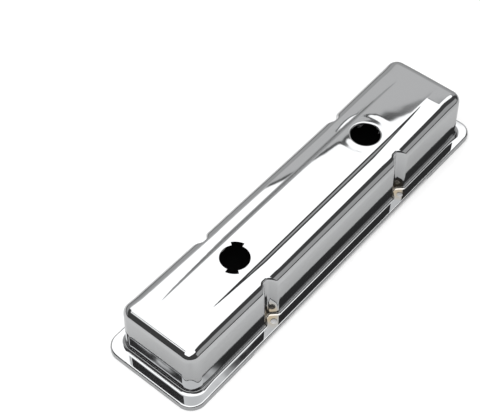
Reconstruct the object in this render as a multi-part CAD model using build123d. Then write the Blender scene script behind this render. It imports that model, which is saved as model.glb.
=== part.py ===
from build123d import *
from math import cos, radians, sin, tan
import os

# Pressed-steel engine valve cover, one sheet-metal piece, in millimetres.
# X runs along the cover, Y across it, Z up. The origin is under the middle of the cover,
# on the surface that the end lips stand on.

# Overall size
LENGTH = 470.0
WIDTH = 117.0
HEIGHT = 66.7
SHEET = 1.2

# Flange and its turned-down lip
FLANGE_TOP = 6.0
FLANGE_CORNER = 17.5
FLANGE_ROLL = 2.0
SIDE_LIP_DEPTH = 2.2
LIP_STEP_MARGIN = 87.0
LIP_STEP_RUN = 4.0

# Box-shaped dome
END_FLANGE = 13.2
SIDE_FLANGE = 10.8
DOME_CORNER = 14.0
DOME_DRAFT = 1.0
TOP_EDGE_RADIUS = 12.0
FOOT_RADIUS = 2.8

# Raised panel along the top, and the two long strips pressed down beside it
PANEL_HALF_WIDTH = 19.5
PANEL_EDGE_ANGLE = 40.0
PANEL_EDGE_RADIUS = 5.0
STRIP_DEPTH = 3.0
STRIP_END_MARGIN = 31.8
STRIP_END_RUN = 85.0

# Bolts, and the recess that each one has in the side wall
BOLT_END_MARGIN = 129.5
BOLT_EDGE_MARGIN = 8.2
BOLT_HOLE_RADIUS = 3.4
BOLT_CLEARANCE = 9.1
RECESS_BACK_WIDTH = 6.0
RECESS_SIDE_ANGLE = 45.0
RECESS_INNER_RADIUS = 4.0
RECESS_EDGE_RADIUS = 3.4
RECESS_LEAN = 2.4

# Oil-fill hole for a twist-in cap, and breather hole with a dished rim and a collar
FILL_END_MARGIN = 130.0
FILL_RADIUS = 15.4
NOTCH_RADIUS = 19.5
NOTCH_ANGLE = 41.0
NOTCH_BEARING = 32.0
BREATHER_END_MARGIN = 130.0
BREATHER_RADIUS = 15.4
DISH_RADIUS = 21.0
DISH_EDGE_RADIUS = 8.0
DISH_ANGLE = 25.0
COLLAR_BEND_RADIUS = 2.0
COLLAR_DEPTH = 6.5

# How far a cutting shape runs past what it cuts, and how near an edge counts as being there
CUT = 10.0
NEAR = 1.0

# Places that follow from these sizes
BOLT_X = LENGTH / 2 - BOLT_END_MARGIN
BOLT_Y = WIDTH / 2 - BOLT_EDGE_MARGIN
LIP_STEP_X = LENGTH / 2 - LIP_STEP_MARGIN
STRIP_END_X = LENGTH / 2 - END_FLANGE - STRIP_END_MARGIN
FILL_X = FILL_END_MARGIN - LENGTH / 2
BREATHER_X = LENGTH / 2 - BREATHER_END_MARGIN


def rounded_block(length, width, corner, bottom, top, taper=0.0):
    """A block with rounded corners, standing on bottom; its walls lean in by taper degrees."""
    plan = Plane.XY.offset(bottom) * RectangleRounded(length, width, corner)
    return extrude(plan, top - bottom, taper=taper)


def strip_press(inset):
    """The space above one pressed strip: its slope beside the panel, within its long dip."""
    top = HEIGHT - inset
    reach = WIDTH / 2 + CUT
    bend = PANEL_EDGE_RADIUS - inset
    centre = (PANEL_HALF_WIDTH, HEIGHT - PANEL_EDGE_RADIUS)
    crest = CenterArc(centre, bend, 90, -PANEL_EDGE_ANGLE)
    slope = PolarLine(crest @ 1, CUT, -PANEL_EDGE_ANGLE)
    above = top + CUT
    floor_corner = (reach, (slope @ 1).Y)
    sides = Polyline(slope @ 1, floor_corner, (reach, above), (PANEL_HALF_WIDTH, above), crest @ 0)
    across = extrude(Plane.YZ * make_face(crest + slope + sides), STRIP_END_X, both=True)

    level = top - STRIP_DEPTH
    flat_x = STRIP_END_X - STRIP_END_RUN
    rear_dip = Spline((flat_x, level), (STRIP_END_X, top), tangents=((1, 0), (1, 0)))
    front_dip = mirror(rear_dip, Plane.YZ)
    flat = Line((-flat_x, level), (flat_x, level))
    lid = Polyline(rear_dip @ 1, (STRIP_END_X, above), (-STRIP_END_X, above), front_dip @ 1)
    along = extrude(Plane.XZ * make_face(rear_dip + front_dip + flat + lid), reach, both=True)
    return across & along


def bolt_recess(inset):
    """The leaning channel that the side wall steps around for one bolt, on the +Y side."""
    reach = WIDTH / 2 + CUT
    back_y = BOLT_Y - BOLT_CLEARANCE
    half_back = RECESS_BACK_WIDTH / 2
    half_mouth = half_back + (reach - back_y) * tan(radians(RECESS_SIDE_ANGLE))
    back = [(-half_back, back_y), (half_back, back_y)]
    mouth = [(half_mouth, reach), (-half_mouth, reach)]
    plan = make_face(Polyline(*back, *mouth, close=True))
    plan = fillet(plan.vertices().group_by(Axis.Y)[0], RECESS_INNER_RADIUS)
    plan = offset(plan, inset) if inset else plan
    rise = Vector(0, 0, 1).rotate(Axis.X, RECESS_LEAN)
    return extrude(plan, HEIGHT + CUT, dir=rise, both=True)


def on_both_sides(shape):
    """The shape and its mirror image across the long axis."""
    return [shape, mirror(shape, Plane.XZ)]


def at_each_bolt(shape):
    """Four copies of a shape made for the +Y side, one at each bolt."""
    return [copy for x in (-BOLT_X, BOLT_X) for copy in on_both_sides(Pos(x, 0, 0) * shape)]


def flange_block(inset):
    """The low block under the flange, with the bend that turns it down into the lip."""
    margin = 2 * inset
    top = FLANGE_TOP - inset
    block = rounded_block(LENGTH - margin, WIDTH - margin, FLANGE_CORNER - inset, -inset, top)
    return fillet(block.edges().group_by(Axis.Z)[-1], FLANGE_ROLL - inset)


def dome_block(inset):
    """The tall block under the dome: strips pressed in, top edge rounded, bolt recesses cut."""
    margin = 2 * inset
    length = LENGTH - 2 * END_FLANGE - margin
    width = WIDTH - 2 * SIDE_FLANGE - margin
    top = HEIGHT - inset
    block = rounded_block(length, width, DOME_CORNER - inset, -inset, top, DOME_DRAFT)
    block -= on_both_sides(strip_press(inset))
    dip_floor = top - STRIP_DEPTH - NEAR
    wall_y = width / 2 - TOP_EDGE_RADIUS
    wall_x = STRIP_END_X + NEAR
    high = block.edges().filter_by(lambda edge: edge.bounding_box().min.Z > dip_floor)
    rim = high.filter_by(lambda edge: abs(edge.center().Y) > wall_y or abs(edge.center().X) > wall_x)
    block = fillet(rim, TOP_EDGE_RADIUS - inset)
    recesses = at_each_bolt(bolt_recess(inset))
    cut_block = block - recesses
    cut_edges = new_edges(block, *recesses, combined=cut_block)
    shoulders = cut_edges.filter_by(lambda edge: edge.center().Z > 0)
    return fillet(shoulders, RECESS_EDGE_RADIUS - inset)


def breather_mouth(inset, lowest):
    """The dished rim of the breather hole and the bore of its collar, down to lowest."""
    lean = radians(DISH_ANGLE)
    bend_r = BREATHER_RADIUS + COLLAR_BEND_RADIUS
    tangent_rise = DISH_EDGE_RADIUS - COLLAR_BEND_RADIUS - (DISH_RADIUS - bend_r) * sin(lean)
    bend_z = HEIGHT - DISH_EDGE_RADIUS + tangent_rise / cos(lean)
    edge = CenterArc((DISH_RADIUS, HEIGHT - DISH_EDGE_RADIUS), DISH_EDGE_RADIUS - inset, 90, DISH_ANGLE)
    bend = CenterArc((bend_r, bend_z), COLLAR_BEND_RADIUS - inset, 90 + DISH_ANGLE, 90 - DISH_ANGLE)
    slope = Line(edge @ 1, bend @ 0)
    above = HEIGHT + CUT
    bore_foot = ((bend @ 1).X, lowest)
    sides = Polyline(bend @ 1, bore_foot, (0, lowest), (0, above), (DISH_RADIUS, above), edge @ 0)
    half_section = Plane.XZ * make_face(edge + slope + bend + sides)
    return Pos(BREATHER_X, 0, 0) * revolve(half_section, Axis.Z)


def pressing(inset):
    """The solid bounded by the cover's surface, moved in by inset: 0 is outside, SHEET is inside."""
    flange = flange_block(inset)
    dome = dome_block(inset)
    body = flange + dome
    foot = new_edges(flange, dome, combined=body)
    body = fillet(foot, FOOT_RADIUS + inset)
    collar_end = HEIGHT - COLLAR_DEPTH
    return body - breather_mouth(inset, collar_end if inset else collar_end - CUT)


def side_lip_gap():
    """The space under the shallow stretch of lip on both sides, with a ramp at each end."""
    lip_edge = FLANGE_TOP - SIDE_LIP_DEPTH
    half_edge = LIP_STEP_X - LIP_STEP_RUN
    ramp = [(0, lip_edge), (half_edge, lip_edge), (LIP_STEP_X, 0)]
    rear_end = Polyline(*ramp, (LIP_STEP_X, -CUT), (0, -CUT))
    outline = rear_end + mirror(rear_end, Plane.YZ)
    return extrude(Plane.XZ * make_face(outline), WIDTH / 2 + CUT, both=True)


def fill_opening():
    """The round oil-fill hole with the two notches that a twist-in cap's ears pass through."""
    one_side = PolarLine((0, 0), 2 * NOTCH_RADIUS, NOTCH_ANGLE / 2)
    other_side = PolarLine((0, 0), 2 * NOTCH_RADIUS, -NOTCH_ANGLE / 2)
    wedge = make_face(Polyline((0, 0), one_side @ 1, other_side @ 1, close=True))
    notch = wedge & Circle(NOTCH_RADIUS)
    opening = Circle(FILL_RADIUS) + [Rot(0, 0, NOTCH_BEARING + turn) * notch for turn in (0, 180)]
    return Pos(FILL_X, 0, HEIGHT - CUT) * extrude(opening, 2 * CUT)


def bolt_hole():
    """One bolt's clearance hole through the flange, on the +Y side."""
    return Pos(0, BOLT_Y, FLANGE_TOP) * Cylinder(BOLT_HOLE_RADIUS, CUT)


def valve_cover():
    cover = pressing(0) - pressing(SHEET)
    cover -= side_lip_gap()
    cover -= fill_opening()
    cover -= at_each_bolt(bolt_hole())
    return cover


os.makedirs("parts", exist_ok=True)
export_step(valve_cover(), "parts/valve_cover.step")
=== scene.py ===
from math import copysign, cos, pi, radians, sin, sqrt, tan

import bmesh
import bpy
import numpy as np
from bpy.props import FloatProperty, FloatVectorProperty, PointerProperty
from bpy.types import Operator, Panel, PropertyGroup
from mathutils import Matrix, Vector


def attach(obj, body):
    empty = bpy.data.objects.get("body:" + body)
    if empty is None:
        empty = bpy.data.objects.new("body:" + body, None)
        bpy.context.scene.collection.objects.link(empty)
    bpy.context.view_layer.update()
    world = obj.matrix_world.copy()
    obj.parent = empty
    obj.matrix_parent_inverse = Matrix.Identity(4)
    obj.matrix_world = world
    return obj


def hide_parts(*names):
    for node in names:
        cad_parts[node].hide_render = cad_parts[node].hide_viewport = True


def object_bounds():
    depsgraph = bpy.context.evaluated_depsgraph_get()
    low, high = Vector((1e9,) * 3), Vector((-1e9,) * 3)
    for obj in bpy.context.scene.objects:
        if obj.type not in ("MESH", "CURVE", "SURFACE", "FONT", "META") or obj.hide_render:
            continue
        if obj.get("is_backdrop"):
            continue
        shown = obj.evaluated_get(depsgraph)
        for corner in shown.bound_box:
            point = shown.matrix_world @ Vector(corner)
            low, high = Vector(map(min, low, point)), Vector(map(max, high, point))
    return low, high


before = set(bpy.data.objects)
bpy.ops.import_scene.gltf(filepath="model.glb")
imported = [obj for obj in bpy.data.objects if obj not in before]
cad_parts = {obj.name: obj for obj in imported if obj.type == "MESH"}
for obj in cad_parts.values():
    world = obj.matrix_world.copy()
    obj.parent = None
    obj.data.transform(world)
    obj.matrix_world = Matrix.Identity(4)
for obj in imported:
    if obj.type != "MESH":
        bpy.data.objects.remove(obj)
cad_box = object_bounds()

bl_info = {
    "name": "Engine Valve Cover",
    "version": (1, 0, 0),
    "blender": (4, 5, 0),
    "location": "View3D > Sidebar > Valve Cover",
    "description": "Presses and plates an engine valve cover and sets it in a small studio",
    "category": "Object",
}

# Lines of the top's grid on one side of the middle: where each band ends, and its number of lines
LINES_ALONG = [(0.075, 12), (0.089, 5), (0.122, 41), (0.136, 5), (0.144, 2), (0.148, 2), (0.19, 8)]
LINES_ACROSS = [(0.0185, 8), (0.027, 15)]
END_LINES = 5
SIDE_LINES = 3
FLAT_HALF = 0.0185
CORNER_STEPS = 7

# Rings down the side: degrees of climb round each bend, and shares of each straight stretch
EDGE_FAN = (86, 82, 78, 75, 72, 69, 66, 63, 60, 56.5, 53, 49, 45, 40, 35, 30, 24, 18, 12, 6, 0)
WALL_STEPS = (0.06, 0.14, 0.25, 0.4, 0.55, 0.7, 0.82, 0.92, 1.0)
FOOT_FAN = (13, 26, 39, 52, 65, 78, 90)
FLANGE_STEPS = (0.12, 0.5, 0.88, 1.0)
ROLL_FAN = (72, 54, 36, 18, 0)
LIP_STEPS = (0.5, 1.0)
MOUTH_STEPS = (0.2, 0.4, 0.6, 0.8, 1.0)
BOLT_STEPS = (0.6, 1.0)

# How far a line runs past a bend, in its radii, and past the top, in its heights
PAST_BEND = 1.6
PAST_TOP = 1.2
# How far the grid is cleared for a hole in the top, in notch radii, and for a bolt, in recess widths
CLEARED = 1.25
BOLT_CLEARED = 1.2

# How the top is eased: the share of a strip's ramp that bends at each end, the most of a strip's depth
# that its crease takes, and the crown's strength to the right of the middle
EASE = 0.05
CREASE_SHARE = 0.4
RIGHT_CROWN = 0.7

# The lit ceiling, in slopes of the ray from straight up: low and high along the cover, then across it
CEILING = ((-1.3, -0.27, -0.76, 0.38), (-0.67, 0.45, -0.76, 0.58))
CEILING_SOFT = (0.02, 0.02)
# Its rear patch, which ends on a line square to the slant and is cut off at one corner
REAR_CEILING = (-0.12, 0.86, -0.35, 1.1)
SLANT = (0.564, 0.826)
REAR_END = (0.843, 0.002)
CORNER_CUT = (0.59, 0.01)
# A dark strut on the ceiling
STRUT = (-0.47, -0.345, 0.385, 0.53)
STRUT_SOFT = (0.006, 0.01)
# The pale wall beyond the ceiling: where it starts, its azimuth and elevation with their softness in
# degrees, where it gets brighter toward its top, and by how much
WALL_START = (0.858, 0.003)
WALL_AZIMUTH = (-5, 135, 4)
WALL_ELEVATION = (14, 70, 3)
WALL_TOP = (radians(36), radians(43))
WALL_TOP_LEVEL = 1.6
# Bright cards that stand round the cover: low and high azimuth, low and high elevation, softness of
# their sides and of their ends, all in degrees, and their level
CARDS = (
    (-78, -38, 4.5, 35, 6, 2, 0.68),
    (-8, 66, 4.5, 46.5, 4, 0.7, 0.68),
    (64, 142, 2, 15, 4, 2, 0.48),
)
# The least rise that a ray's slope is taken from, and a slope that lies past everything
LEAST_RISE = 0.05
FAR = 99.0

# The floor's painted shade: how dark the shade painted under the dome is, how far that patch is moved
# to the left, in thicknesses of the sheet, and the painted shadow beside the dome and painted shade
# toward the rear that dim the floor: start, end and their levels
PAINTED_SHADE_UNDER_DOME = 0.02
SHADE_PATCH_SHIFT = 3
PAINTED_SHADOW_BESIDE = (0.01, 0.06, 0.83, 1.0)
PAINTED_SHADE_REARWARD = (-0.05, 0.4, 1.0, 0.78)

# The plate's finish: noise scale and detail of the stain's blotches and of the press's waves, how much
# stronger the waves are low on the walls, and the share of the height where they have settled
BLOTCHES = (140.0, 2.0)
WAVES = (45.0, 1.0)
LOW_WAVES = 4.0
WAVES_SETTLE = 0.8
# The height of the stain's middle, in heights of the flange, and where the stain is full, where it ends
# and how ragged it is, in radii of a bolt hole
STAIN_MIDDLE = 2
STAIN_FULL = 2
STAIN_END = 5
STAIN_RAGGED = 2

# The bend above which an edge is sharp, and the camera's sensor in millimetres
RIM_ANGLE = radians(40.0)
SENSOR_WIDTH = 36.0

# Numbers that only steady the arithmetic
HALVINGS = 30
SLOPE_STEPS = 10
FACING_STEPS = 40
MOST_LEAN = 0.98
TINY = 1e-9
SQUARE = 1e-6
NOTCH_SLACK = radians(0.1)


def length(name, description, default):
    """A property that holds one length."""
    return FloatProperty(
        name=name, description=description, default=default, unit="LENGTH", min=0.0, precision=5,
    )


def place_along(name, description, default):
    """A property that holds a place along an axis."""
    return FloatProperty(
        name=name, description=description, default=default, unit="LENGTH", precision=4,
    )


def turn(name, description, degrees):
    """A property that holds one angle."""
    return FloatProperty(name=name, description=description, default=radians(degrees), unit="ROTATION")


class CoverForm(PropertyGroup):
    """Sizes of the pressed cover."""

    sheet: length("Sheet", "Thickness of the steel sheet", 0.0012)
    height: length("Height", "Height of the raised panel above the gasket face", 0.0667)
    dome_length: length("Dome length", "Length of the dome at its foot", 0.4436)
    dome_width: length("Dome width", "Width of the dome at its foot", 0.0954)
    dome_corner: length("Dome corner", "Radius of the dome's upright corners", 0.014)
    dome_draft: turn("Dome draft", "Lean of the dome's walls", 1.0)
    top_edge: length("Top edge", "Radius of the dome's top edge", 0.012)
    end_edge: length("End edge", "Radius of the top edge at the two ends", 0.0102)
    end_foot: length("End foot", "Radius between the end walls and the flange", 0.0046)
    end_blend: length("End blend", "Length over which the sides' radii change to the ends'", 0.02)
    flange_length: length("Flange length", "Length over the flange", 0.47)
    flange_width: length("Flange width", "Width over the flange", 0.117)
    flange_corner: length("Flange corner", "Radius of the flange's corners", 0.0175)
    flange_top: length("Flange top", "Height of the flange's upper face", 0.006)
    flange_roll: length("Flange roll", "Radius where the flange turns down into its lip", 0.002)
    foot: length("Foot", "Radius between the dome's wall and the flange", 0.0028)
    side_lip_edge: length("Side lip edge", "Height of the lip's edge along the sides", 0.0038)
    lip_step: length("Lip step", "Where the lip reaches its full depth", 0.148)
    lip_ramp: length("Lip ramp", "Length of the ramp between the two lip depths", 0.004)
    panel_half_width: length("Panel half width", "From the middle to the panel's crest", 0.0195)
    panel_crest: length("Panel crest", "Radius of the panel's long edges", 0.005)
    panel_slope: turn("Panel slope", "Slope of the panel's long edges", 40.0)
    panel_foot: length("Panel foot", "Softness of the crease at the panel's foot", 0.0016)
    strip_depth: length("Strip depth", "Depth of the strips beside the panel", 0.003)
    strip_flat: length("Strip flat", "Where the strips begin to rise", 0.085)
    strip_end: length("Strip end", "Where the strips meet the panel's level", 0.19)
    crown: length("Crown", "Fall of the rear half's top from its middle to its left edge", 0.0006)
    bolt_x: length("Bolt place along", "From the middle to a bolt, along the cover", 0.1055)
    bolt_y: length("Bolt place across", "From the middle to a bolt, across the cover", 0.0503)
    bolt_radius: length("Bolt hole", "Radius of the bolt holes", 0.0034)
    recess_back: length("Recess back", "From the middle to the back of a recess at its foot", 0.0412)
    recess_width: length("Recess width", "Width of the back of a recess", 0.006)
    recess_inner: length("Recess inner", "Radius of the recess's two inner corners", 0.004)
    recess_edge: length("Recess edge", "Radius of the recess's shoulders", 0.0034)
    recess_lean: turn("Recess lean", "Lean of the recess's back", 2.4)
    fill_x: place_along("Fill hole place", "Place of the oil-fill hole", -0.105)
    breather_x: place_along("Breather place", "Place of the breather hole", 0.105)
    hole_radius: length("Hole radius", "Radius of the fill hole and of the breather hole", 0.0154)
    notch_radius: length("Notch radius", "Outer radius of the fill hole's notches", 0.0195)
    notch_angle: turn("Notch angle", "Width of each notch", 41.0)
    notch_bearing: turn("Notch bearing", "Direction of the notches", 32.0)
    dish_radius: length("Dish radius", "Outer radius of the dish round the breather hole", 0.031)
    dish_floor: length("Dish floor", "Outer radius of the dish's flat floor", 0.022)
    dish_depth: length("Dish depth", "Depth of the shallow dish", 0.00006)
    collar_bend: length("Collar bend", "Radius where the dish turns down into the collar", 0.002)
    collar_edge: length("Collar edge", "Height of the collar's lower edge", 0.0602)


def smooth(value):
    """Eases a rise from 0 to 1."""
    held = np.clip(value, 0.0, 1.0)
    return held * held * (3.0 - 2.0 * held)


def eased(value):
    """Rises from 0 to 1 along a straight ramp with a soft start and end."""
    held = np.clip(value, 0.0, 1.0)
    near = np.minimum(held, 1.0 - held)
    ramp = np.where(near < EASE, near * near / (2.0 * EASE), near - EASE / 2.0) / (1.0 - EASE)
    return np.where(held < 0.5, ramp, 1.0 - ramp)


def off_rounded_plan(x, y, long, wide, corner):
    """How far points stand off a plan outline with rounded corners."""
    past_x = np.abs(x) - (long / 2 - corner)
    past_y = np.abs(y) - (wide / 2 - corner)
    outside = np.hypot(np.maximum(past_x, 0.0), np.maximum(past_y, 0.0))
    return outside + np.minimum(np.maximum(past_x, past_y), 0.0) - corner


def rounded_edge(one, other, radius, lean=0.0):
    """How far points stand off two faces joined by a rounded edge; lean is the cosine between them."""
    a = one + radius
    b = other + radius
    on_bend = (a > lean * b) & (b > lean * a)
    bend = np.sqrt(np.maximum(a * a + b * b - 2.0 * a * b * lean, 0.0) / (1.0 - lean * lean))
    return np.where(on_bend, bend, np.maximum(a, b)) - radius


def top_height(form, x, y):
    """Height of the top: the panel, less the strips beside it, the crown's fall and the dish."""
    side = np.maximum(np.abs(y) - form.panel_half_width, 0.0)
    bend_run = form.panel_crest * sin(form.panel_slope)
    bend = form.panel_crest - np.sqrt(form.panel_crest ** 2 - np.minimum(side, bend_run) ** 2)
    panel = bend + np.maximum(side - bend_run, 0.0) * tan(form.panel_slope)
    risen = eased((np.abs(x) - form.strip_flat) / (form.strip_end - form.strip_flat))
    strip = form.strip_depth * (1.0 - risen)
    soft = np.minimum(form.panel_foot, strip * CREASE_SHARE) + TINY
    near = np.maximum(soft - np.abs(panel - strip), 0.0)
    fall = np.minimum(panel, strip) - near * near / (4.0 * soft)
    rearward = smooth(0.5 + 0.5 * x / form.strip_flat)
    leftward = np.where(y > 0.0, y, RIGHT_CROWN * np.minimum(-y, form.panel_half_width))
    crown = form.crown * rearward * (2.0 * leftward / (form.dome_width - 2.0 * form.top_edge)) ** 3
    from_breather = np.hypot(x - form.breather_x, y)
    climb = smooth((from_breather - form.dish_floor) / (form.dish_radius - form.dish_floor))
    return form.height - fall - crown - form.dish_depth * (1.0 - climb)


def recess_channel(form, x, y, z):
    """How far points stand off the nearest bolt's channel, and how far its side faces outward."""
    aside = np.abs(np.abs(x) - form.bolt_x)
    outward = np.abs(y) + z * tan(form.recess_lean) - form.recess_back
    slant = sqrt(0.5)
    to_back = -outward
    to_side = (aside - form.recess_width / 2 - outward) * slant
    radius = form.recess_inner
    corner_out = radius
    corner_aside = form.recess_width / 2 + corner_out - radius / slant
    from_corner = (aside - corner_aside, outward - corner_out)
    past_back = from_corner[0] > 0.0
    past_side = (from_corner[0] + from_corner[1]) * slant < 0.0
    reach = np.hypot(*from_corner)
    round_corner = past_back & past_side
    off = np.where(round_corner, reach, np.maximum(to_back, to_side) + radius) - radius
    facing = np.where(to_back > to_side, 1.0, slant)
    facing = np.where(round_corner, -from_corner[1] / np.maximum(reach, TINY), facing)
    return off, facing


def toward_end(form, x, side, end):
    """A radius that changes from its side value to its end value past the strips' ends."""
    start = form.dome_length / 2 - form.dome_corner / 2 - form.end_blend
    return side + (end - side) * smooth((np.abs(x) - start) / form.end_blend)


def dome(form, points):
    """How far points stand off the dome, with its bolt recesses."""
    x, y, z = points.T
    draft = form.dome_draft
    off_wall = off_rounded_plan(x, y, form.dome_length, form.dome_width, form.dome_corner)
    wall = (off_wall + z * tan(draft)) * cos(draft)
    step = form.sheet / SLOPE_STEPS
    top = top_height(form, x, y)
    slope_x = (top_height(form, x + step, y) - top) / step
    slope_y = (top_height(form, x, y + step) - top) / step
    over = (z - top) / np.sqrt(1.0 + slope_x ** 2 + slope_y ** 2)
    edge = toward_end(form, x, form.top_edge, form.end_edge)
    body = rounded_edge(wall, over, edge)
    wall_share = np.maximum(wall + edge, 0.0)
    top_share = np.maximum(over + edge, 0.0)
    sideways = wall_share / np.maximum(np.hypot(wall_share, top_share), TINY)
    channel, facing = recess_channel(form, x, y, z)
    lean = np.clip(sideways * facing, 0.0, MOST_LEAN)
    return rounded_edge(body, -channel, form.recess_edge, lean)


def cover(form, points):
    """How far points stand off the cover's outer skin."""
    x, y, z = points.T
    off_flange = off_rounded_plan(x, y, form.flange_length, form.flange_width, form.flange_corner)
    flange = rounded_edge(off_flange, z - form.flange_top, form.flange_roll)
    foot = toward_end(form, x, form.foot, form.end_foot)
    body = -rounded_edge(-dome(form, points), -flange, foot)
    bore = form.hole_radius - np.hypot(x - form.breather_x, y)
    return rounded_edge(body, bore, form.collar_bend)


def outward(form, points, skin=cover):
    """Directions square to a skin at points on it."""
    step = form.sheet / FACING_STEPS
    slopes = []
    for axis in np.eye(3) * step:
        slopes.append(skin(form, points + axis) - skin(form, points - axis))
    slopes = np.array(slopes).T
    return slopes / np.linalg.norm(slopes, axis=1, keepdims=True)


def meet(form, inner, outer, skin=cover):
    """Points where lines from inner to outer points leave a skin."""
    low = np.zeros((len(inner), 1))
    high = np.ones((len(inner), 1))
    for _ in range(HALVINGS):
        middle = (low + high) / 2
        inside = skin(form, inner + (outer - inner) * middle)[:, None] < 0.0
        low = np.where(inside, middle, low)
        high = np.where(inside, high, middle)
    return inner + (outer - inner) * high


def half_lines(bands, edge, corner_steps):
    """Grid lines from the middle to one side: each a place, and its share of the way round a corner."""
    lines = []
    start = 0.0
    for end, count in bands:
        lines += [(start + (end - start) * (step + 1) / count, 0.0) for step in range(count)]
        start = end
    lines += [(edge, (step + 1) / corner_steps) for step in range(corner_steps)]
    return lines


def both_halves(half):
    """The same lines on both sides of the middle, in order."""
    return [(-place, -share) for place, share in reversed(half)] + [(0.0, 0.0)] + half


def plan_place(line_x, line_y):
    """Where two grid lines cross: a base point, its share of a corner's radius and the way it faces."""
    (x, share_x), (y, share_y) = line_x, line_y
    big, small = max(abs(share_x), abs(share_y)), min(abs(share_x), abs(share_y))
    bearing = radians(45.0) * small / big if big else 0.0
    if abs(share_y) > abs(share_x):
        bearing = radians(90.0) - bearing
    return (x, y), big, (copysign(cos(bearing), share_x), copysign(sin(bearing), share_y))


def with_height(plan, level):
    """Points above places on plan."""
    return np.column_stack((plan, np.broadcast_to(level, len(plan))))


def through_top(form, plan):
    """Upright lines through the top at places on plan."""
    return with_height(plan, form.height / 2), with_height(plan, form.height * PAST_TOP)


def through_flange(form, plan):
    """Upright lines through the flange at places on plan."""
    return with_height(plan, form.flange_top / 2), with_height(plan, form.flange_top * 2)


class Sheet:
    """A skin being built: each corner keeps the line on which it will meet the cover's form."""

    def __init__(self):
        self.shape = bmesh.new()
        self.inner = self.shape.verts.layers.float_vector.new("inner")
        self.outer = self.shape.verts.layers.float_vector.new("outer")

    def set_line(self, corner, inner, outer):
        """Gives a corner its line, from inside the form to outside it."""
        corner[self.inner] = inner
        corner[self.outer] = outer
        corner.co = outer

    def grow(self, rim, lines):
        """Extrudes a rim by one ring. A rim maps corners to columns, and each column has a line."""
        edges = {
            edge for corner in rim for edge in corner.link_edges
            if edge.is_boundary and edge.other_vert(corner) in rim
        }
        made = bmesh.ops.extrude_edge_only(self.shape, edges=list(edges))["geom"]
        fresh = {item for item in made if isinstance(item, bmesh.types.BMVert)}
        grown = {}
        for corner, column in rim.items():
            ends = [edge.other_vert(corner) for edge in corner.link_edges]
            copy = next(end for end in ends if end in fresh)
            self.set_line(copy, lines[0][column], lines[1][column])
            grown[copy] = column
        return grown

    def open_up(self, faces):
        """Takes faces out of the skin. The rim that is left maps each corner to a column of its own."""
        rim = {corner for face in faces for corner in face.verts}
        bmesh.ops.delete(self.shape, geom=faces, context="FACES")
        return {corner: column for column, corner in enumerate(c for c in rim if c.is_valid)}


def lay_top(form, sheet):
    """Lays the grid over the top. Returns its rim, each column's base and facing, and its reach."""
    edge_x = form.dome_length / 2 - form.dome_corner
    edge_y = form.dome_width / 2 - form.dome_corner
    lines_x = both_halves(half_lines(LINES_ALONG + [(edge_x, END_LINES)], edge_x, CORNER_STEPS))
    lines_y = both_halves(half_lines(LINES_ACROSS + [(edge_y, SIDE_LINES)], edge_y, CORNER_STEPS))
    wide, deep = len(lines_x) - 1, len(lines_y) - 1
    bmesh.ops.create_grid(sheet.shape, x_segments=wide, y_segments=deep, size=1.0)
    start = form.dome_corner - form.top_edge - (form.height - form.top_edge) * tan(form.dome_draft)
    rim, bases, facings = {}, [], []
    for corner in list(sheet.shape.verts):
        column, row = round((corner.co.x + 1) / 2 * wide), round((corner.co.y + 1) / 2 * deep)
        base, share, facing = plan_place(lines_x[column], lines_y[row])
        if column in (0, wide) or row in (0, deep):
            rim[corner] = len(bases)
            bases.append(base)
            facings.append(facing)
        reach = start * share
        x, y = base[0] + reach * facing[0], base[1] + reach * facing[1]
        sheet.set_line(corner, (x, y, form.height / 2), (x, y, form.height * PAST_TOP))
    return rim, np.array(bases), np.array(facings), start


def side_rings(form, bases, facings, start):
    """Lines for each ring from the top's rim down to the lip's edge, with the name of its stretch."""
    up = np.array((0.0, 0.0, 1.0))
    facing = with_height(facings, 0.0)
    rim = bases + facings * start
    edge_level = top_height(form, *rim.T) - form.top_edge
    pivot = with_height(rim, edge_level)
    for climb in np.radians(EDGE_FAN):
        yield "edge", pivot, pivot + (facing * cos(climb) + up * sin(climb)) * form.top_edge * PAST_BEND
    foot = toward_end(form, bases[:, 0] + facings[:, 0] * form.dome_corner, form.foot, form.end_foot)
    foot_level = form.flange_top + foot
    for share in WALL_STEPS:
        within = with_height(bases, edge_level + (foot_level - edge_level) * share)
        beyond = within + facing * form.dome_corner * PAST_BEND
        yield "wall", within, beyond
    wall = meet(form, within, beyond, dome)
    away = outward(form, wall, dome) * (1.0, 1.0, 0.0)
    away /= np.linalg.norm(away, axis=1, keepdims=True)
    foot = foot[:, None]
    pivot = wall + away * foot
    for fall in np.radians(FOOT_FAN):
        yield "foot", pivot - (away * cos(fall) + up * sin(fall)) * foot * PAST_BEND, pivot
    flange_edge = np.array((form.flange_length, form.flange_width)) / 2 - form.flange_corner
    at_side = np.abs(facings) > SQUARE
    flange_bases = np.where(at_side, np.sign(facings) * flange_edge, bases)
    roll_start = flange_bases + facings * (form.flange_corner - form.flange_roll)
    for share in FLANGE_STEPS:
        spots = pivot[:, :2] + (roll_start - pivot[:, :2]) * share
        yield "flange", *through_flange(form, spots)
    roll_level = form.flange_top - form.flange_roll
    roll_reach = form.flange_roll * PAST_BEND
    pivot = with_height(roll_start, roll_level)
    for climb in np.radians(ROLL_FAN):
        yield "roll", pivot, pivot + (facing * cos(climb) + up * sin(climb)) * roll_reach
    along = np.abs(roll_start[:, 0])
    lip_edge = form.side_lip_edge * np.clip((form.lip_step - along) / form.lip_ramp, 0.0, 1.0)
    for share in LIP_STEPS:
        within = with_height(roll_start, roll_level + (lip_edge - roll_level) * share)
        yield "lip", within, within + facing * roll_reach


def about(rim, centre):
    """Bearing and reach of a rim's corners from a hole's centre, in column order."""
    corners = sorted(rim, key=rim.get)
    offsets = np.array([corner.co.xy for corner in corners]) - centre
    return np.arctan2(offsets[:, 1], offsets[:, 0]), np.hypot(*offsets.T)


def round_spots(centre, bearing, reach):
    """Places on plan at bearings and reaches from a centre."""
    return centre + np.column_stack((np.cos(bearing), np.sin(bearing))) * np.reshape(reach, (-1, 1))


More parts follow.
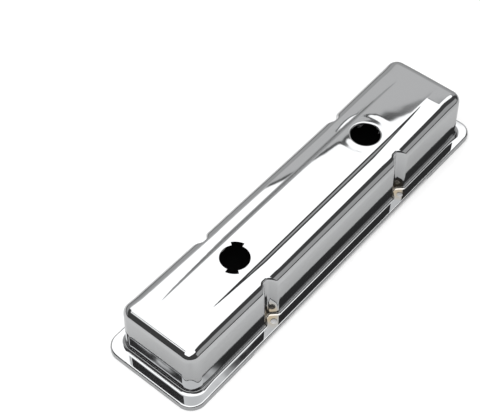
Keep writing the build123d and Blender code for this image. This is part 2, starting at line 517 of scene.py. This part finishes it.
def block_round(sheet, centre, half_x, half_y):
    """The faces of the top within a rectangle."""
    near = []
    for face in sheet.shape.faces:
        middle = face.calc_center_median()
        if abs(middle.x - centre[0]) < half_x and abs(middle.y - centre[1]) < half_y:
            near.append(face)
    return near


def open_fill_hole(form, sheet):
    """The round oil-fill hole and its two notches."""
    centre = np.array((form.fill_x, 0.0))
    rim = sheet.open_up(block_round(sheet, centre, form.notch_radius * CLEARED, FLAT_HALF))
    bearing, reach = about(rim, centre)
    half = form.notch_angle / 2
    for way in (form.notch_bearing, form.notch_bearing - pi):
        for edge in (way - half, way + half):
            apart = np.abs(np.angle(np.exp(1j * (bearing - edge))))
            bearing[np.argmin(apart)] = edge
    off_notch = np.abs(np.angle(np.exp(2j * (bearing - form.notch_bearing)))) / 2
    in_notch = off_notch < half + NOTCH_SLACK
    between = np.minimum(form.notch_radius, (reach + form.hole_radius) / 2)
    broad = np.where(in_notch, form.notch_radius, between)
    outer_rim = sheet.grow(rim, through_top(form, round_spots(centre, bearing, broad)))
    narrow = np.full(len(bearing), form.hole_radius)
    inner_rim = sheet.grow(outer_rim, through_top(form, round_spots(centre, bearing, narrow)))
    columns = {**outer_rim, **inner_rim}
    ears = {face for corner in inner_rim for face in corner.link_faces}
    ears = [face for face in ears if all(in_notch[columns[corner]] for corner in face.verts)]
    bmesh.ops.delete(sheet.shape, geom=ears, context="FACES")


def open_breather(form, sheet):
    """The dished breather hole and its collar."""
    centre = np.array((form.breather_x, 0.0))
    rim = sheet.open_up(block_round(sheet, centre, form.notch_radius * CLEARED, FLAT_HALF))
    bearing, reach = about(rim, centre)
    bend_start = form.hole_radius + form.collar_bend
    bend_reach = form.collar_bend * PAST_BEND
    for share in MOUTH_STEPS:
        spots = round_spots(centre, bearing, reach + (bend_start - reach) * share)
        rim = sheet.grow(rim, through_top(form, spots))
    level = top_height(form, *spots.T) - form.collar_bend
    pivot = with_height(spots, level)
    radial = with_height(round_spots(0.0, bearing, np.ones(len(bearing))), 0.0)
    for climb in np.radians(ROLL_FAN):
        way = np.array((0.0, 0.0, sin(climb))) - radial * cos(climb)
        rim = sheet.grow(rim, (pivot, pivot + way * bend_reach))
    for share in LIP_STEPS:
        within = with_height(spots, level + (form.collar_edge - level) * share)
        rim = sheet.grow(rim, (within, within - radial * bend_reach))


def open_bolt_holes(form, sheet, bands, bases):
    """The four bolt holes in the flange; bands are the flange's rings of corners, inner to outer."""
    columns = {corner: column for band in bands for corner, column in band.items()}
    reach = form.recess_width * BOLT_CLEARED
    for x in (-form.bolt_x, form.bolt_x):
        for y in (-form.bolt_y, form.bolt_y):
            near = {
                corner for corner, column in columns.items()
                if corner.is_valid and abs(bases[column][0] - x) < reach and bases[column][1] * y > 0.0
            }
            faces = {face for corner in near for face in corner.link_faces}
            rim = sheet.open_up([face for face in faces if near.issuperset(face.verts)])
            centre = np.array((x, y))
            bearing, far = about(rim, centre)
            for share in BOLT_STEPS:
                spots = round_spots(centre, bearing, far + (form.bolt_radius - far) * share)
                rim = sheet.grow(rim, through_flange(form, spots))


def press_cover(form):
    """The cover as one closed sheet of steel."""
    sheet = Sheet()
    rim, bases, facings, start = lay_top(form, sheet)
    open_fill_hole(form, sheet)
    open_breather(form, sheet)
    bands = []
    for stretch, inner, outer in side_rings(form, bases, facings, start):
        rim = sheet.grow(rim, (inner, outer))
        if stretch == "flange":
            bands.append(rim)
    open_bolt_holes(form, sheet, bands[:-1], bases)
    shape = sheet.shape
    corners = list(shape.verts)
    inner = np.array([corner[sheet.inner] for corner in corners])
    outer = np.array([corner[sheet.outer] for corner in corners])
    places = meet(form, inner, outer)
    facing = outward(form, places)
    for corner, place, way in zip(corners, places, facing):
        corner.co = place
        corner[sheet.outer] = way
    copied = bmesh.ops.extrude_face_region(shape, geom=list(shape.faces), use_keep_orig=True)["geom"]
    for item in copied:
        if isinstance(item, bmesh.types.BMVert):
            item.co -= item[sheet.outer] * form.sheet
    bmesh.ops.recalc_face_normals(shape, faces=list(shape.faces))
    for edge in shape.edges:
        edge.smooth = edge.calc_face_angle(0.0) < RIM_ANGLE
    for face in shape.faces:
        face.smooth = True
    mesh = bpy.data.meshes.new("valve_cover_pressing")
    shape.to_mesh(mesh)
    shape.free()
    return mesh


def shade_smoothly(mesh):
    """Gives each face corner the sheet's own direction, so that the polish shows no facets."""
    count = len(mesh.loops)
    at = np.empty(count, dtype=np.int32)
    mesh.loops.foreach_get("vertex_index", at)
    ways = np.empty(len(mesh.vertices) * 3)
    mesh.attributes["outer"].data.foreach_get("vector", ways)
    faces = np.empty(len(mesh.polygons) * 3)
    mesh.polygon_normals.foreach_get("vector", faces)
    sides = np.empty(len(mesh.polygons), dtype=np.int32)
    mesh.polygons.foreach_get("loop_total", sides)
    own = np.repeat(faces.reshape(-1, 3), sides, axis=0)
    skin = ways.reshape(-1, 3)[at]
    along = np.sum(own * skin, axis=1, keepdims=True)
    directions = np.where(np.abs(along) > 0.5, skin * np.sign(along), own)
    mesh.normals_split_custom_set(directions.tolist())
    for name in ("inner", "outer"):
        mesh.attributes.remove(mesh.attributes[name])


class CoverChrome(PropertyGroup):
    """The chrome plate on the cover."""

    color: FloatVectorProperty(
        name="Plate colour", description="Colour of the polished chrome", subtype="COLOR",
        size=3, min=0.0, max=1.0, default=(0.42, 0.425, 0.43),
    )
    roughness: FloatProperty(
        name="Roughness", description="Blur of the polished plate", subtype="FACTOR",
        min=0.0, max=1.0, default=0.03,
    )
    waviness: FloatProperty(
        name="Waviness", description="Height of the slight waves left by the press", subtype="DISTANCE",
        min=0.0, default=0.00002,
    )
    stain_color: FloatVectorProperty(
        name="Stain colour", description="Colour of the faint stain by the bolts", subtype="COLOR",
        size=3, min=0.0, max=1.0, default=(0.46, 0.37, 0.23),
    )
    stain: FloatProperty(
        name="Stain", description="Strength of the stain by the bolts", subtype="FACTOR",
        min=0.0, max=1.0, default=0.6,
    )


class StudioLook(PropertyGroup):
    """The floor, the light round the cover and the camera."""

    floor_size: FloatProperty(
        name="Floor size", description="Width of the square floor", unit="LENGTH",
        min=1.0, max=40.0, default=1.8,
    )
    floor_color: FloatVectorProperty(
        name="Floor colour", description="Colour of the floor", subtype="COLOR",
        size=3, min=0.0, max=1.0, default=(0.9, 0.9, 0.9),
    )
    floor_glow: FloatProperty(
        name="Floor glow", description="How much the floor is whitened for the camera",
        min=0.0, default=0.24,
    )
    ceiling_level: FloatProperty(
        name="Ceiling level", description="Brightness of the lit ceiling", min=0.0, default=2.56,
    )
    wall_level: FloatProperty(
        name="Wall level", description="Brightness of the pale wall behind the cover",
        min=0.0, default=0.624,
    )
    dark_level: FloatProperty(
        name="Dark level", description="Brightness of the unlit room", min=0.0, default=0.104,
    )
    camera_place: FloatVectorProperty(
        name="Camera place", description="Where the camera stands", subtype="XYZ", unit="LENGTH",
        size=3, default=(-0.6532, -0.4778, 1.0503),
    )
    camera_azimuth: FloatProperty(
        name="Camera azimuth", description="Turn of the camera about the vertical", unit="ROTATION",
        default=radians(-49.344),
    )
    camera_elevation: FloatProperty(
        name="Camera elevation", description="How far the camera looks down", unit="ROTATION",
        default=radians(51.35),
    )
    camera_roll: FloatProperty(
        name="Camera roll", description="Tilt of the picture", unit="ROTATION",
        default=radians(-0.433),
    )
    camera_lens: FloatProperty(
        name="Lens", description="Focal length on a 36 mm wide sensor", subtype="DISTANCE_CAMERA",
        default=95.05,
    )


def math_node(tree, operation, first, second=None):
    """A Math node; each side is a number or another node's output."""
    node = tree.nodes.new("ShaderNodeMath")
    node.operation = operation
    for socket, value in zip(node.inputs, (first, second)):
        if value is None:
            continue
        if isinstance(value, (int, float)):
            socket.default_value = value
        else:
            tree.links.new(value, socket)
    return node.outputs["Value"]


def join(tree, operation, *values):
    """Math nodes that join values one after another."""
    total = values[0]
    for value in values[1:]:
        total = math_node(tree, operation, total, value)
    return total


def ramp(tree, value, start, end, low, high):
    """A level that goes softly from low to high while a value goes from start to end."""
    node = tree.nodes.new("ShaderNodeMapRange")
    node.interpolation_type = "SMOOTHSTEP"
    tree.links.new(value, node.inputs["Value"])
    for name, number in (("From Min", start), ("From Max", end), ("To Min", low), ("To Max", high)):
        node.inputs[name].default_value = number
    return node.outputs["Result"]


def new_group(name, inputs, outputs):
    """A node group with named sockets, what comes into it and what goes out."""
    group = bpy.data.node_groups.new(name, "ShaderNodeTree")
    for way, sockets in (("INPUT", inputs), ("OUTPUT", outputs)):
        for socket, kind in sockets.items():
            group.interface.new_socket(name=socket, in_out=way, socket_type="NodeSocket" + kind)
    inside = group.nodes.new("NodeGroupInput").outputs
    out = group.nodes.new("NodeGroupOutput").inputs
    return group, inside, out


def window_group():
    """Builds the group that masks one soft-edged range of a value."""
    inputs = dict.fromkeys(("Value", "Low", "High", "Softness"), "Float")
    group, inside, out = new_group("Soft window", inputs, {"Mask": "Float"})
    edges = []
    for edge, rising in (("Low", True), ("High", False)):
        rise = group.nodes.new("ShaderNodeMapRange")
        rise.interpolation_type = "SMOOTHSTEP"
        below = math_node(group, "SUBTRACT", inside[edge], inside["Softness"])
        above = math_node(group, "ADD", inside[edge], inside["Softness"])
        group.links.new(inside["Value"], rise.inputs["Value"])
        group.links.new(below if rising else above, rise.inputs["From Min"])
        group.links.new(above if rising else below, rise.inputs["From Max"])
        edges.append(rise.outputs["Result"])
    group.links.new(math_node(group, "MULTIPLY", *edges), out["Mask"])
    return group


def window(tree, group, value, low, high, softness):
    """The mask of one range of a value."""
    node = tree.nodes.new("ShaderNodeGroup")
    node.node_tree = group
    tree.links.new(value, node.inputs["Value"])
    node.inputs["Low"].default_value = low
    node.inputs["High"].default_value = high
    node.inputs["Softness"].default_value = softness
    return node.outputs["Mask"]


def noise(tree, place, scale, detail):
    """A noise texture's value at a place."""
    node = tree.nodes.new("ShaderNodeTexNoise")
    node.inputs["Scale"].default_value = scale
    node.inputs["Detail"].default_value = detail
    tree.links.new(place, node.inputs["Vector"])
    return node.outputs["Fac"]


def stain_mask(tree, form, place, x, y, z):
    """Where the stain lies: round each bolt, with a ragged edge."""
    off_x = math_node(tree, "SUBTRACT", math_node(tree, "ABSOLUTE", x), form.bolt_x)
    off_y = math_node(tree, "SUBTRACT", math_node(tree, "ABSOLUTE", y), form.bolt_y - form.bolt_radius)
    off_z = math_node(tree, "SUBTRACT", z, form.flange_top * STAIN_MIDDLE)
    offset = tree.nodes.new("ShaderNodeCombineXYZ")
    for value, socket in zip((off_x, off_y, off_z), offset.inputs):
        tree.links.new(value, socket)
    away = tree.nodes.new("ShaderNodeVectorMath")
    away.operation = "LENGTH"
    tree.links.new(offset.outputs["Vector"], away.inputs[0])
    radius = form.bolt_radius
    blotches = math_node(tree, "MULTIPLY", noise(tree, place, *BLOTCHES), radius * STAIN_RAGGED)
    ragged = math_node(tree, "ADD", away.outputs["Value"], blotches)
    return ramp(tree, ragged, radius * STAIN_FULL, radius * STAIN_END, 1.0, 0.0)


def wave_normal(tree, form, place, z, waviness):
    """The directions of the press's slight waves."""
    strength = ramp(tree, z, form.flange_top, form.height * WAVES_SETTLE, LOW_WAVES, 1.0)
    bump = tree.nodes.new("ShaderNodeBump")
    bump.inputs["Strength"].default_value = 1.0
    tree.links.new(math_node(tree, "MULTIPLY", strength, waviness), bump.inputs["Distance"])
    tree.links.new(noise(tree, place, *WAVES), bump.inputs["Height"])
    return bump.outputs["Normal"]


def plate_group(form):
    """Builds the group that tints the plate and makes its slight waves."""
    inputs = {
        "Place": "Vector", "Plate": "Color", "Stain colour": "Color",
        "Stain": "Float", "Waviness": "Float",
    }
    group, inside, out = new_group("Plate finish", inputs, {"Color": "Color", "Normal": "Vector"})
    split = group.nodes.new("ShaderNodeSeparateXYZ")
    group.links.new(inside["Place"], split.inputs["Vector"])
    mask = stain_mask(group, form, inside["Place"], *split.outputs)
    tint = group.nodes.new("ShaderNodeMix")
    tint.data_type = "RGBA"
    group.links.new(math_node(group, "MULTIPLY", mask, inside["Stain"]), tint.inputs["Factor"])
    group.links.new(inside["Plate"], tint.inputs["A"])
    group.links.new(inside["Stain colour"], tint.inputs["B"])
    group.links.new(tint.outputs["Result"], out["Color"])
    normal = wave_normal(group, form, inside["Place"], split.outputs["Z"], inside["Waviness"])
    group.links.new(normal, out["Normal"])
    return group


def angle_window(tree, group, angle, low, high, softness):
    """The mask of one range of an angle, given in degrees."""
    return window(tree, group, angle, radians(low), radians(high), radians(softness))


def patch(tree, group, along, across, box, softness):
    """The mask of one rectangle of the sky: low and high along, then low and high across."""
    low_along, high_along, low_across, high_across = box
    length_mask = window(tree, group, along, low_along, high_along, softness[0])
    width_mask = window(tree, group, across, low_across, high_across, softness[1])
    return math_node(tree, "MULTIPLY", length_mask, width_mask)


def new_material(name):
    """A material with an empty node tree."""
    material = bpy.data.materials.new(name)
    material.use_nodes = True
    material.node_tree.nodes.clear()
    return material


class VALVECOVER_OT_cover(Operator):
    """Press the cover and plate it with polished chrome"""

    bl_idname = "valvecover.cover"
    bl_label = "Make the Cover"

    def execute(self, context):
        mesh = press_cover(context.scene.cover_form)
        shade_smoothly(mesh)
        mesh.materials.append(self.plate(context.scene.cover_form, context.scene.cover_chrome))
        cover = bpy.data.objects.new("valve_cover_pressing", mesh)
        context.scene.collection.objects.link(cover)
        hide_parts("valve_cover")
        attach(cover, "root")
        return {"FINISHED"}

    def plate(self, form, look):
        """Polished chrome, faintly stained by the bolts."""
        material = new_material("Polished chrome")
        nodes = material.node_tree.nodes
        links = material.node_tree.links
        out = nodes.new("ShaderNodeOutputMaterial")
        shader = nodes.new("ShaderNodeBsdfPrincipled")
        shader.inputs["Base Color"].default_value = (*look.color, 1.0)
        shader.inputs["Metallic"].default_value = 1.0
        shader.inputs["Roughness"].default_value = look.roughness
        finish = nodes.new("ShaderNodeGroup")
        finish.node_tree = plate_group(form)
        links.new(nodes.new("ShaderNodeTexCoord").outputs["Object"], finish.inputs["Place"])
        finish.inputs["Plate"].default_value = (*look.color, 1.0)
        finish.inputs["Stain colour"].default_value = (*look.stain_color, 1.0)
        finish.inputs["Stain"].default_value = look.stain
        finish.inputs["Waviness"].default_value = look.waviness
        links.new(finish.outputs["Color"], shader.inputs["Base Color"])
        links.new(finish.outputs["Normal"], shader.inputs["Normal"])
        links.new(shader.outputs["BSDF"], out.inputs["Surface"])
        return material


class VALVECOVER_OT_studio(Operator):
    """Lay the floor, light the cover and place the camera"""

    bl_idname = "valvecover.studio"
    bl_label = "Set the Studio"

    def execute(self, context):
        look = context.scene.studio_look
        self.lay_floor(context, look)
        self.light(context, look)
        self.place_camera(context, look)
        return {"FINISHED"}

    def lay_floor(self, context, look):
        """The square floor that the cover stands on."""
        shape = bmesh.new()
        bmesh.ops.create_grid(shape, x_segments=1, y_segments=1, size=look.floor_size / 2)
        mesh = bpy.data.meshes.new("studio_floor")
        shape.to_mesh(mesh)
        shape.free()
        mesh.materials.append(self.paper(context.scene.cover_form, look))
        floor = bpy.data.objects.new("studio_floor", mesh)
        context.scene.collection.objects.link(floor)
        floor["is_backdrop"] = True

    def paper(self, form, look):
        """Pale paper with painted shade: dark under the dome, painted darker beside the dome and toward
        the rear, and whitened for the camera everywhere else.
        """
        material = new_material("Pale floor")
        tree = material.node_tree
        nodes, links = tree.nodes, tree.links
        place = nodes.new("ShaderNodeSeparateXYZ")
        links.new(nodes.new("ShaderNodeTexCoord").outputs["Object"], place.inputs["Vector"])
        x, y = place.outputs["X"], place.outputs["Y"]
        # The painted shade patch reaches the left wall and stops short of the right one
        shift = form.sheet * SHADE_PATCH_SHIFT
        aside = math_node(tree, "ABSOLUTE", math_node(tree, "SUBTRACT", y, shift))
        off_side = math_node(tree, "SUBTRACT", aside, form.dome_width / 2 - shift)
        off_end = math_node(tree, "SUBTRACT", math_node(tree, "ABSOLUTE", x), form.dome_length / 2)
        off_dome = math_node(tree, "MAXIMUM", off_side, off_end)
        clear = math_node(tree, "GREATER_THAN", off_dome, 0.0)
        # The share of the floor's own colour: painted shadow beside the dome, painted shade toward the
        # rear and painted shade under the dome
        pale = join(tree, "MULTIPLY", ramp(tree, off_dome, *PAINTED_SHADOW_BESIDE), ramp(tree, x, *PAINTED_SHADE_REARWARD), clear)
        # The floor's colour runs from the near black of the painted shade to its own pale colour
        tint = nodes.new("ShaderNodeMix")
        tint.data_type = "RGBA"
        tint.inputs["A"].default_value = (PAINTED_SHADE_UNDER_DOME, PAINTED_SHADE_UNDER_DOME, PAINTED_SHADE_UNDER_DOME, 1.0)
        tint.inputs["B"].default_value = (*look.floor_color, 1.0)
        links.new(pale, tint.inputs["Factor"])
        shader = nodes.new("ShaderNodeBsdfPrincipled")
        shader.inputs["Roughness"].default_value = 1.0
        shader.inputs["Specular IOR Level"].default_value = 0.0
        shader.inputs["Emission Color"].default_value = (1.0, 1.0, 1.0, 1.0)
        links.new(tint.outputs["Result"], shader.inputs["Base Color"])
        seen = nodes.new("ShaderNodeLightPath").outputs["Is Camera Ray"]
        glow = join(tree, "MULTIPLY", seen, clear, look.floor_glow)
        links.new(glow, shader.inputs["Emission Strength"])
        out = nodes.new("ShaderNodeOutputMaterial")
        links.new(shader.outputs["BSDF"], out.inputs["Surface"])
        return material

    def light(self, context, look):
        """The room round the cover, which the camera itself sees as white."""
        world = bpy.data.worlds.new("Studio")
        world.use_nodes = True
        context.scene.world = world
        tree = world.node_tree
        tree.nodes.clear()
        level = self.room(tree, look)
        seen = tree.nodes.new("ShaderNodeLightPath").outputs["Is Camera Ray"]
        background = tree.nodes.new("ShaderNodeBackground")
        background.inputs["Color"].default_value = (1.0, 1.0, 1.0, 1.0)
        out = tree.nodes.new("ShaderNodeOutputWorld")
        tree.links.new(math_node(tree, "MAXIMUM", level, seen), background.inputs["Strength"])
        tree.links.new(background.outputs["Background"], out.inputs["Surface"])

    def room(self, tree, look):
        """How bright the room is in each direction: its ceiling, the wall beyond that and the cards."""
        group = window_group()
        split = tree.nodes.new("ShaderNodeSeparateXYZ")
        ray = tree.nodes.new("ShaderNodeTexCoord").outputs["Generated"]
        tree.links.new(ray, split.inputs["Vector"])
        x, y, z = split.outputs
        rise = math_node(tree, "MAXIMUM", z, LEAST_RISE)
        along = math_node(tree, "DIVIDE", x, rise)
        across = math_node(tree, "DIVIDE", y, rise)
        azimuth = math_node(tree, "ARCTAN2", y, x)
        elevation = math_node(tree, "ARCSINE", z)
        share_along = math_node(tree, "MULTIPLY", along, SLANT[0])
        share_across = math_node(tree, "MULTIPLY", across, SLANT[1])
        slanted = math_node(tree, "ADD", share_along, share_across)
        cornerwise = math_node(tree, "MULTIPLY", math_node(tree, "SUBTRACT", along, across), sqrt(0.5))
        front = [patch(tree, group, along, across, box, CEILING_SOFT) for box in CEILING]
        rear = join(
            tree, "MULTIPLY",
            patch(tree, group, along, across, REAR_CEILING, CEILING_SOFT),
            window(tree, group, slanted, -FAR, *REAR_END),
            window(tree, group, cornerwise, -FAR, *CORNER_CUT),
        )
        lit = join(tree, "MAXIMUM", *front, rear)
        clear = math_node(tree, "SUBTRACT", 1.0, patch(tree, group, along, across, STRUT, STRUT_SOFT))
        ceiling = join(tree, "MULTIPLY", lit, clear, look.ceiling_level)
        wall_start, wall_softness = WALL_START
        wall = join(
            tree, "MULTIPLY",
            window(tree, group, slanted, wall_start, FAR, wall_softness),
            angle_window(tree, group, azimuth, *WALL_AZIMUTH),
            angle_window(tree, group, elevation, *WALL_ELEVATION),
            ramp(tree, elevation, *WALL_TOP, look.wall_level, look.wall_level * WALL_TOP_LEVEL),
        )
        levels = [math_node(tree, "MAXIMUM", ceiling, look.dark_level), wall]
        for left, right, low, high, side_softness, end_softness, strength in CARDS:
            side = angle_window(tree, group, azimuth, left, right, side_softness)
            height = angle_window(tree, group, elevation, low, high, end_softness)
            levels.append(join(tree, "MULTIPLY", side, height, strength))
        return join(tree, "MAXIMUM", *levels)

    def place_camera(self, context, look):
        """The camera, turned, tipped and rolled as its look says."""
        turn, climb = look.camera_azimuth, look.camera_elevation
        back = Vector((sin(turn) * cos(climb), -cos(turn) * cos(climb), sin(climb)))
        right = Vector((cos(turn), sin(turn), 0.0))
        up = back.cross(right)
        axes = Matrix((right, up, back)).transposed() @ Matrix.Rotation(look.camera_roll, 3, "Z")
        data = bpy.data.cameras.new("Studio camera")
        data.sensor_width = SENSOR_WIDTH
        data.lens = look.camera_lens
        camera = bpy.data.objects.new("Studio camera", data)
        camera.matrix_world = Matrix.Translation(look.camera_place) @ axes.to_4x4()
        context.scene.collection.objects.link(camera)
        context.scene.camera = camera
        context.scene.view_settings.view_transform = "Standard"


class VALVECOVER_PT_sidebar(Panel):
    """Sizes, finish and studio of the valve cover"""

    bl_idname = "VALVECOVER_PT_sidebar"
    bl_label = "Valve Cover"
    bl_space_type = "VIEW_3D"
    bl_region_type = "UI"
    bl_category = "Valve Cover"

    def draw(self, context):
        for name in ("cover_form", "cover_chrome", "studio_look"):
            group = getattr(context.scene, name)
            for prop in group.bl_rna.properties:
                if prop.identifier not in {"rna_type", "name"}:
                    self.layout.prop(group, prop.identifier)
        self.layout.operator("valvecover.cover")
        self.layout.operator("valvecover.studio")


CLASSES = (
    CoverForm, CoverChrome, StudioLook,
    VALVECOVER_OT_cover, VALVECOVER_OT_studio, VALVECOVER_PT_sidebar,
)


def register():
    """Adds the operators, the panel and the settings to the scene."""
    for cls in CLASSES:
        bpy.utils.register_class(cls)
    bpy.types.Scene.cover_form = PointerProperty(type=CoverForm)
    bpy.types.Scene.cover_chrome = PointerProperty(type=CoverChrome)
    bpy.types.Scene.studio_look = PointerProperty(type=StudioLook)


def unregister():
    """Takes them away again."""
    del bpy.types.Scene.studio_look
    del bpy.types.Scene.cover_chrome
    del bpy.types.Scene.cover_form
    for cls in reversed(CLASSES):
        bpy.utils.unregister_class(cls)


def main():
    """Builds the cover and its studio."""
    register()
    bpy.ops.valvecover.cover()
    bpy.ops.valvecover.studio()
    boxes = [[list(corner) for corner in box] for box in (cad_box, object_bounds())]


if __name__ == "__main__":
    main()
